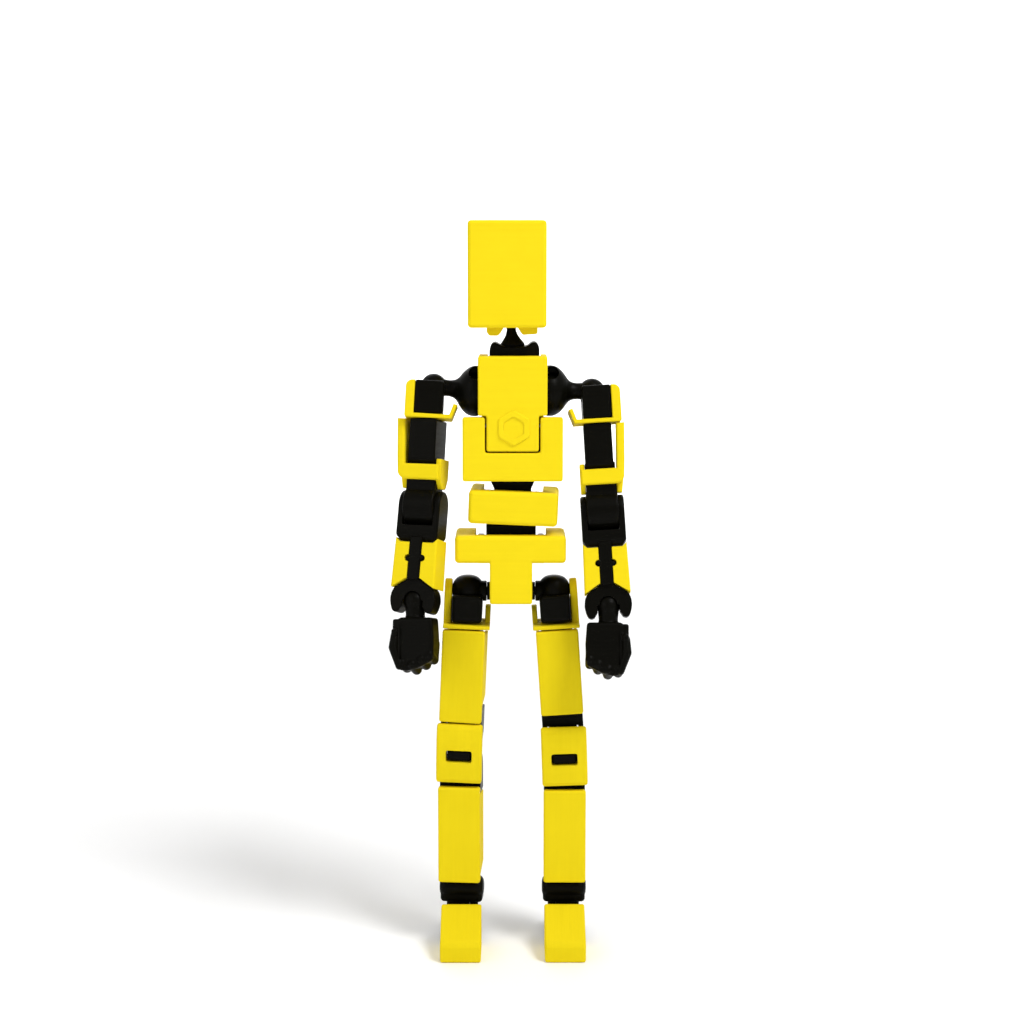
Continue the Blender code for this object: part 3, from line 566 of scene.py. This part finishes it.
def make_bicep(bicep, tag, side):
    top, low = -6.3, -14.35
    block = [(-3.2, top), (3.2, top), *reversed(arc((2.2, low + 1.0), 1.0, -90, 0, 6)),
             *reversed(arc((-2.2, low + 1.0), 1.0, -180, -90, 6))]
    core = combined([plate("x", block, -2.65, 2.5, 0.3),
                     box((-2.76, 2.76), (-2.4, 2.4), (-ELBOW_DROP + 1, low + 1), 0.2),
                     rod("x", (0, 0, -ELBOW_DROP), 3.75, -2.92, 2.92, 0.35)],
                    [rod("z", (0, 0, 0), BORE, top - 3.2, top + 2), *dimples(2.92, -ELBOW_DROP)])
    piece(f"bicep_core_{tag}", bicep, "black", core, side)
    band, tip = -17.4, -19.0
    ell = [(3.4, top), (4.9, top), (4.55, -13.0), *reversed(arc((2.75, band + 1.6), 1.6, -90, 0, 8)),
           (-3.6, band), (-3.6, low - 0.2), (3.0, low - 0.2)]
    inner_tab = [(-2.6, -13.5), (2.3, -13.5), (2.3, band + 0.3), (1.1, tip), (-1.1, tip), (-2.6, band + 0.3)]
    outer_tab = [(2.84, band + 1.5), (4.25, band + 1.2), (3.8, tip), (2.84, tip)]
    guard = combined([plate("y", ell, -3.5, 2.6, 0.45), plate("x", inner_tab, -3.75, -2.82, 0.2, 0.3),
                      plate("y", outer_tab, -1.6, 1.6, 0.3)],
                     [box((-2.79, 2.79), (-2.43, 2.43), (band - 2, low + 2), 0.2)])
    piece(f"bicep_guard_{tag}", bicep, "arm", guard, side)


def make_forearm(forearm, tag, side):
    floor = -4.1
    wrist = -WRIST_DROP
    fork = [(-2.8, 0.0), (-2.8, floor - 1.4), (-1.9, floor - 2.6), (1.9, floor - 2.6), (2.8, floor - 1.4),
            (2.8, 0.0), *arc((0, 0), 2.8, 0, 180, 16)[1:-1]]
    half = [(1.5, floor - 2.2), (1.2, floor - 3.2), (1.1, -9.0), (1.05, -11.5), (1.2, wrist + 3.9),
            (1.8, wrist + 3.35), (2.9, wrist + 2.75), (3.75, wrist + 2.15), (4.2, wrist + 1.2), (4.35, wrist),
            (4.1, wrist - 1.3), (3.75, wrist - 2.1), (3.2, wrist - 2.4), (2.6, wrist - 2.2), (2.2, wrist - 1.5),
            (1.6, wrist - 0.8)]
    bone = [*half, *[(-x, z) for x, z in reversed(half)]]
    wedges = [plate("y", [(sign * 4.4, floor - 1.2), (sign * 4.4, floor - 3.0), (sign * 2.8, floor - 3.0)], -4, 4)
              for sign in (1, -1)]
    nubs = [rod("y", (1.25, 0, -10.1), 0.45, -2.75, -1.0, 0.2, 16),
            rod("y", (-1.25, 0, -9.7), 0.45, -2.75, -1.0, 0.2, 16)]
    core = combined([plate("x", fork, -4.0, 4.0, 0.4), plate("y", bone, -1.9, 1.9, 0.35, 0.4),
                     box((-1.15, 1.15), (-2.7, 1.0), (wrist + 3.6, floor - 1.8), 0.3), *nubs, *pins(2.95, 0)],
                    [box((-2.95, 2.95), (-4, 4), (floor + 0.2, 4.0), 0.2), ball((0, 0, wrist), SEAT + 0.1),
                     box((-2.05, 2.05), (-3, 3), (wrist - 5, wrist)), *wedges])
    piece(f"forearm_core_{tag}", forearm, "black", core, side)
    wall = [(-4.0, -6.2), (-3.2, -6.95), (3.2, -6.95), (4.0, -6.2), (4.2, wrist + 2.2), (-4.2, wrist + 2.2)]
    claw_space = [(-1.25, wrist + 4.0), (-6.4, wrist + 0.65), (6.4, wrist + 0.65), (1.25, wrist + 4.0)]
    nicks = [rod("y", (sign * 1.35, 0, -9.9), 0.62, -4.0, 1.0, 0.1, 16) for sign in (1, -1)]
    guard = combined([plate("y", wall, -2.6, 3.4, 0.4)],
                     [box((-1.25, 1.25), (-4, 1.4), (-20, -5), 0.3), *nicks,
                      plate("y", claw_space, -5, 5, 0.0, 0.4)])
    piece(f"forearm_guard_{tag}", forearm, "arm", guard, side)


def capsule(start, end, first, last):
    """A rounded bar between two points, as its two balls and the cone between them."""
    start, end = Vector(start), Vector(end)
    span = end - start
    cone = bmesh.new()
    bmesh.ops.create_cone(cone, segments=24, radius1=first, radius2=last, depth=span.length, cap_ends=True)
    bmesh.ops.rotate(cone, verts=cone.verts, matrix=span.to_track_quat("Z", "Y").to_matrix())
    bmesh.ops.translate(cone, verts=cone.verts, vec=(start + end) / 2)
    return [ball(start, first, 24), cone, ball(end, last, 24)]


def make_hand(hand, tag, side):
    knuckles = [(1.75, -12.3, 0.9), (-0.1, -12.6, 0.95), (-1.9, -11.7, 0.95), (-3.4, -10.8, 0.85)]
    back = [(-3.9, -3.1), (2.6, -3.1), (3.0, -6.0), (2.7, -12.6), (0.9, -12.9), (-1.2, -12.3), (-2.8, -11.5),
            (-4.1, -10.8), (-4.2, -7.0)]
    solids = [plate("y", back, -2.3, 1.9, 0.7, 0.6), *capsule((0, 0, 0.4), (0, 0, 1.7), 1.9, 0.9),
              ball((0, 0, 0), 2.2), spun("z", (0, 0, 0), [(-4.6, 0.0), (-4.2, 2.2), (-3.3, 1.85), (-2.6, 1.75),
                                                         (-1.2, 1.9), (-1.2, 0.0)])]
    for x, knuckle, thick in knuckles:
        solids += capsule((x, -1.75, knuckle + 1.0), (x, 1.0, knuckle), thick, thick)
        solids += capsule((x, 1.0, knuckle), (x, 2.0, knuckle + 3.0), thick, thick * 0.85)
    solids += [box((2.3, 3.7), (-2.2, 0.6), (-6.4, -3.4), 0.4)]
    solids += [box((2.35, 3.65), (-3.1, -1.5), (-6.5, -5.2), 0.4)]
    solids += capsule((3.15, -2.0, -6.2), (3.35, -2.4, -8.6), 0.8, 0.85)
    solids += capsule((3.35, -2.4, -8.6), (2.2, -2.3, -12.0), 0.85, 0.65)
    creases = [rod("z", (2.1, -2.55, 0), 0.38, -10.8, -4.2, 0.1, 12)]
    creases += [rod("z", (x, -2.75, 0), 0.45, -13.0, -8.6, 0.1, 12) for x in (0.85, -1.0, -2.7)]
    shape = combined([fused(solids, 0.14, 2)], creases)
    piece(f"hand_{tag}", hand, "black", shape, side, flat=False)


# --- leg -----------------------------------------------------------------------------------------

def make_hip(hip, tag, side):
    dome = flowing([(-2.95, 0.7), (-2.6, 1.6), (-1.8, 2.4), (-0.8, 2.88), (0.3, 2.98), (1.2, 2.86), (2.0, 2.48),
                    (2.6, 1.85), (2.9, 1.1)])
    shape = combined([spun("z", (0, 0, 0), [(-3.0, 0.0), *dome, (3.0, 0.0)]),
                      rod("x", (0, 0, 0), 1.9, -3.5, -1.6)],
                     [rod("x", (0, 0, 0), DIMPLE, -5.0, 0.9, sides=24)])
    piece(f"hip_ball_{tag}", hip, "black", shape, side)


def make_thigh_socket(socket, tag, side):
    floor = -5.4
    block = combined([box((-2.85, 2.85), (-4.2, 4.2), (floor, -0.3), 0.65, 5)],
                     [ball((0, 0, 0), 3.45), box((-4, -1), (-2.3, 2.3), (-3.1, 2), 0.2),
                      rod("z", (0, 0, 0), BORE, -8, -2)])
    piece(f"thigh_socket_{tag}", socket, "black", block, side)
    lug = [(-2.7, -6.2), (2.7, -6.2), (2.7, -0.5), *arc((0, -0.5), 2.7, 0, 180, 20)[1:-1], (-2.7, -0.5)]
    lip = [(-1.6, -6.2), (3.4, -6.2), (3.4, -2.9), (1.2, -2.9)]
    guard = combined([box((-4.4, 4.3), (-4.9, 3.6), (-6.45, floor - GAP), 0.25),
                      plate("x", lug, 2.95, 4.3, 0.3), plate("x", lip, -4.4, -3.4, 0.25, 0.5)],
                     [rod("z", (0, 0, 0), BORE, -8, -2)])
    piece(f"hip_guard_{tag}", socket, "leg", guard, side)


def guard_shell(node, place, width, span, walls, side):
    """A limb cover: a thick front with a thin side wall at each edge over part of its height, open behind."""
    low, top = span
    wall_low, wall_top = walls
    front = [(-width, low), (width, low), (width, top), (-width, top)]
    rim = [(-4.3, wall_low - 1.03), (2.9, wall_low + 0.4), (2.9, wall_top), (-4.3, wall_top)]
    sides = [plate("x", rim, *sorted((sign * (width - 0.65), sign * (width - 0.1))), 0.15, 0.4)
             for sign in (1, -1)]
    piece(node, place, "leg", combined([plate("y", front, -5.0, -3.25, 0.4, 0.5), *sides]), side)


def make_thigh(thigh, tag, side):
    top = -6.75
    knee = -THIGH_LENGTH[tag]
    low = THIGH_GUARD_END[tag]
    ear = [(-2.6, knee), *arc((0, knee), 2.6, 180, 360, 20)[1:-1], (2.6, knee), (2.6, knee + 4.2),
           (-2.6, knee + 4.2)]
    ears = [plate("x", ear, *sorted((sign * 2.95, sign * 3.85)), 0.2) for sign in (1, -1)]
    core = combined([box((-2.95, 2.95), (-2.9, 3.2), (knee + 3.2, top - 0.05), 0.3), *ears,
                     box((-3.8, 3.8), (-2.6, 2.5), (knee + 1.2, knee + 4.3), 0.25),
                     rod("z", (0, 0, 0), PEG, top - 1, -3.85), *pins(2.95, knee)],
                    [rod("x", (0, 0, knee), 3.05, -2.94, 2.94, 0.02)])
    piece(f"thigh_core_{tag}", thigh, "black", core, side)
    guard_shell(f"thigh_guard_{tag}", thigh, 3.95, (low, top), (knee + 5.6, top - 1.1), side)


def make_knee(knee, tag, side):
    low = -KNEE_SPACING
    joint_block = combined([rod("x", (0, 0, 0), 2.45, -2.6, 2.6, 0.2), rod("x", (0, 0, low), 2.45, -2.6, 2.6, 0.2),
                            box((-2.5, 2.5), (-2.8, 1.9), (low + 0.4, -0.4), 0.2),
                            box((-2.15, 2.15), (-5.0, -2.0), (SLOT_MIDDLE - 0.85, SLOT_MIDDLE + 0.85), 0.2)],
                           [*dimples(2.6, 0), *dimples(2.6, low)])
    piece(f"knee_link_{tag}", knee, "black", joint_block, side)
    side_view = [(-3.25, 1.6), (-4.7, 1.9), (-5.3, 1.0), (-5.6, -1.0), (-5.6, low + 1.6), (-5.2, low - 1.4),
                 (-4.6, low - 2.0), (-3.25, low - 1.7)]
    slot = plate("y", [(-2.45, SLOT_MIDDLE - 1.15), (2.45, SLOT_MIDDLE - 1.15), (2.45, SLOT_MIDDLE + 1.15),
                       (-2.45, SLOT_MIDDLE + 1.15)], -7, -2, 0.0, 0.5)
    cap = combined([plate("x", side_view, -4.25, 4.25, 0.45, 0.55)], [slot])
    piece(f"knee_guard_{tag}", knee, "leg", cap, side)


def make_shin(shin, tag, side, ankle):
    ear = [(-2.6, 0.0), (-2.6, -4.6), (2.6, -4.6), (2.6, 0.0), *arc((0, 0), 2.6, 0, 180, 20)[1:-1]]
    ears = [plate("x", ear, *sorted((sign * 2.95, sign * 3.85)), 0.2) for sign in (1, -1)]
    core = combined([box((-2.95, 2.95), (-2.9, 3.2), (ankle + 2.6, -3.2), 0.3), *ears,
                     box((-3.8, 3.8), (-2.5, 2.5), (-4.7, -1.4), 0.25),
                     box((-1.3, 1.3), (-0.75, 0.75), (ankle, ankle + 3.0)),
                     rod("x", (0, 0, ankle), 1.4, -1.4, 1.4), *pins(2.95, 0)],
                    [rod("x", (0, 0, 0), 3.05, -2.94, 2.94, 0.02), *dimples(1.4, ankle, depth=0.9)])
    piece(f"shin_core_{tag}", shin, "black", core, side)
    low, top = ankle + 2.2, -2.85
    guard_shell(f"shin_guard_{tag}", shin, 3.95, (low, top), (ankle + 3.9, -5.1), side)


def make_ankle(ankle, tag, side, roll):
    ends = flowing([(-4.2, 0.8), (-4.1, 1.4), (-3.75, 1.9), (-3.2, 2.12), (-2.0, 2.16), (2.0, 2.16), (3.2, 2.12),
                    (3.75, 1.9), (4.1, 1.4), (4.2, 0.8)])
    slot = [rod("x", (0, 0, 0), 1.72, -1.75, 1.75, 0.02), box((-1.75, 1.75), (-1.6, 3), (-0.9, 3))]
    barrel = combined([spun("x", (0, 0, 0), [(-4.22, 0.0), *ends, (4.22, 0.0)]),
                       box((-4.0, 4.0), (-1.75, 1.75), (-2.75, -0.2), 0.7, 6)], slot)
    shape = combined([barrel, *pins(1.75, 0, reach=0.75), box((-1.5, 1.5), (-1.4, 1.4), (roll, -2.2)),
                      rod("y", (0, 0, roll), 1.6, -1.5, 1.5)],
                     [rod("y", (0, 0, roll), DIMPLE, sign * 2.5 - 1.9, sign * 2.5 + 1.9, sides=24)
                      for sign in (1, -1)])
    piece(f"ankle_link_{tag}", ankle, "black", shape, side)


def make_foot(foot, tag, side):
    sole = -foot.translation.z / MM
    nibs = [rod("y", (0, 0, 0), PIN, *sorted((sign * 2.2, sign * 1.0)), sides=24) for sign in (1, -1)]
    core = combined([box((-3.35, 3.35), (-3.1, 7.6), (sole, sole + 2.6), 0.5),
                     box((-3.0, 3.0), (1.85, 4.4), (sole + 0.4, 2.2), 0.5),
                     box((-3.0, 3.0), (-3.1, -1.85), (sole + 0.4, 2.0), 0.4), *nibs])
    piece(f"foot_core_{tag}", foot, "black", core, side)
    cap = [(-3.45, sole), (-3.45, 2.5), (-4.3, 2.7), (-12.4, sole + 4.0), (-13.0, sole + 3.2), (-13.0, sole + 0.3),
           (-12.7, sole)]
    piece(f"foot_cover_{tag}", foot, "leg", combined([plate("x", cap, -3.8, 3.8, 0.42, 0.6)]), side)


# --- the whole figure ----------------------------------------------------------------------------

def make_torso():
    hips = (Vector(JOINTS["hip_swing_l"]["pos_m"]) + Vector(JOINTS["hip_swing_r"]["pos_m"])) / 2
    pelvis = Matrix.Translation(hips)
    waist = joint_frame(pelvis, "waist_lean")
    abdomen = joint_frame(waist, "waist_turn", (0, ABDOMEN_TILT, ABDOMEN_TURN))
    chest = joint_frame(abdomen, "chest_bend", (0, -ABDOMEN_TILT, -ABDOMEN_TURN))
    neck = joint_frame(chest, "neck_nod", (0, HEAD_LEAN, 0))
    head = joint_frame(neck, "head_turn", (0, -HEAD_LEAN, 0))
    make_pelvis(pelvis)
    make_waist(waist)
    make_abdomen(abdomen)
    make_chest(chest)
    make_neck(neck)
    make_head(head)
    return pelvis, chest


def make_arm(chest, tag, side):
    lift, lean = LINK_LIFT[tag], ARM_LEAN[tag]
    shoulder = joint_frame(chest, f"arm_swing_{tag}", (-ARM_SWING, -side * lift, 0))
    arm = joint_frame(shoulder, f"arm_raise_{tag}", (0, side * (lift - lean), 0))
    bicep = joint_frame(arm, f"bicep_turn_{tag}", (0, 0, side * BICEP_TURN[tag]))
    forearm = joint_frame(bicep, f"elbow_bend_{tag}", (-ELBOW_BEND, 0, 0))
    hand = joint_frame(forearm, f"wrist_bend_{tag}", (-WRIST_BEND, side * lean, 0))
    make_shoulder_link(shoulder, tag, side)
    make_upper_arm(arm, tag, side)
    make_bicep(bicep, tag, side)
    make_forearm(forearm, tag, side)
    make_hand(hand, tag, side)


def make_leg(pelvis, tag, side):
    lean = THIGH_LEAN[tag]
    hip = joint_frame(pelvis, f"hip_swing_{tag}")
    socket = joint_frame(hip, f"hip_spread_{tag}", (0, -side * lean, 0))
    thigh = joint_frame(socket, f"thigh_turn_{tag}", (0, 0, side * THIGH_TURN[tag]))
    knee = joint_frame(thigh, f"knee_upper_{tag}", (0, side * lean / 2, 0))
    shin = joint_frame(knee, f"knee_lower_{tag}", (0, side * lean / 2, 0))
    ankle = joint_frame(shin, f"ankle_bend_{tag}")
    foot = Matrix.Translation(JOINTS[f"ankle_roll_{tag}"]["pos_m"])
    make_hip(hip, tag, side)
    make_thigh_socket(socket, tag, side)
    make_thigh(thigh, tag, side)
    make_knee(knee, tag, side)
    make_shin(shin, tag, side, (shin.inverted() @ ankle.translation).z / MM)
    make_ankle(ankle, tag, side, (ankle.inverted() @ foot.translation).z / MM)
    make_foot(foot, tag, side)


# --- stage, lights and camera --------------------------------------------------------------------

def make_stage():
    """A pale floor that curves up into a wall well behind the figure."""
    rise = [(-2.0, 0.0), (0.9, 0.0), *arc((0.9, 0.5), 0.5, -90, 0, 12)[1:], (1.4, 2.6)]
    mesh = bmesh.new()
    rows = [[mesh.verts.new((x, y, z)) for y, z in rise] for x in (-2.6, 2.6)]
    for a, b, c, d in zip(rows[0], rows[0][1:], rows[1], rows[1][1:]):
        mesh.faces.new((a, c, d, b))
    for face in mesh.faces:
        face.smooth = True
    floor = raw_object(mesh, "stage_floor")
    material = bpy.data.materials.new("pale_floor")
    material.use_nodes = True
    tree = material.node_tree
    shader = tree.nodes["Principled BSDF"]
    shader.inputs["Roughness"].default_value = 0.7
    shader.inputs["Specular IOR Level"].default_value = 0.1
    tint = tree.nodes.new("ShaderNodeMix")
    tint.data_type = "RGBA"
    tint.inputs["A"].default_value = (0.93, 0.93, 0.93, 1.0)
    tint.inputs["B"].default_value = (0.95, 0.95, 0.95, 1.0)
    place = tree.nodes.new("ShaderNodeTexCoord").outputs["Object"]
    link(tree, noise(tree, place, (1, 1, 1), 30.0), tint.inputs["Factor"])
    link(tree, tint.outputs["Result"], shader.inputs["Base Color"])
    floor.data.materials.append(material)


def area_light(name, at, aim, size, power, colour=(1.0, 1.0, 1.0)):
    data = bpy.data.lights.new(name, "AREA")
    data.shape = "DISK"
    data.size = size
    data.energy = power
    data.color = colour
    thing = bpy.data.objects.new(name, data)
    thing.location = at
    thing.rotation_euler = (Vector(aim) - Vector(at)).to_track_quat("-Z", "Y").to_euler()
    bpy.context.scene.collection.objects.link(thing)


def make_lights():
    world = bpy.data.worlds.new("white_room")
    world.use_nodes = True
    world.node_tree.nodes["Background"].inputs["Color"].default_value = (1.0, 1.0, 1.0, 1.0)
    world.node_tree.nodes["Background"].inputs["Strength"].default_value = 0.5
    bpy.context.scene.world = world
    aim = (0.0, 0.0, 0.06)
    area_light("key", (0.38, -0.34, 0.74), aim, 0.3, 4.6)
    area_light("fill", (-0.6, -0.5, 0.4), aim, 0.6, 1.2)
    area_light("rim", (-0.25, 0.5, 0.7), aim, 0.4, 0.8)
    area_light("wall", (0.0, 0.75, 0.9), (0.0, 1.4, 0.5), 0.5, 12.0)


def make_camera():
    """Looks a little down at the figure from in front."""
    data = bpy.data.cameras.new("camera")
    data.lens = CAMERA_LENS
    data.sensor_width = 36.0
    data.clip_start = 0.01
    data.clip_end = 20.0
    data.shift_x = CAMERA_SHIFT
    thing = bpy.data.objects.new("camera", data)
    thing.location = Vector(CAMERA_AT) * MM
    thing.rotation_euler = (math.radians(90.0 - CAMERA_TILT), 0.0, 0.0)
    bpy.context.scene.collection.objects.link(thing)
    bpy.context.scene.camera = thing


bpy.context.scene.view_settings.view_transform = "Standard"
make_camera()
make_stage()
make_lights()
pelvis_frame, chest_frame = make_torso()
for arm_tag, arm_side in SIDES.items():
    make_arm(chest_frame, arm_tag, arm_side)
    make_leg(pelvis_frame, arm_tag, arm_side)

bpy.context.view_layer.update()
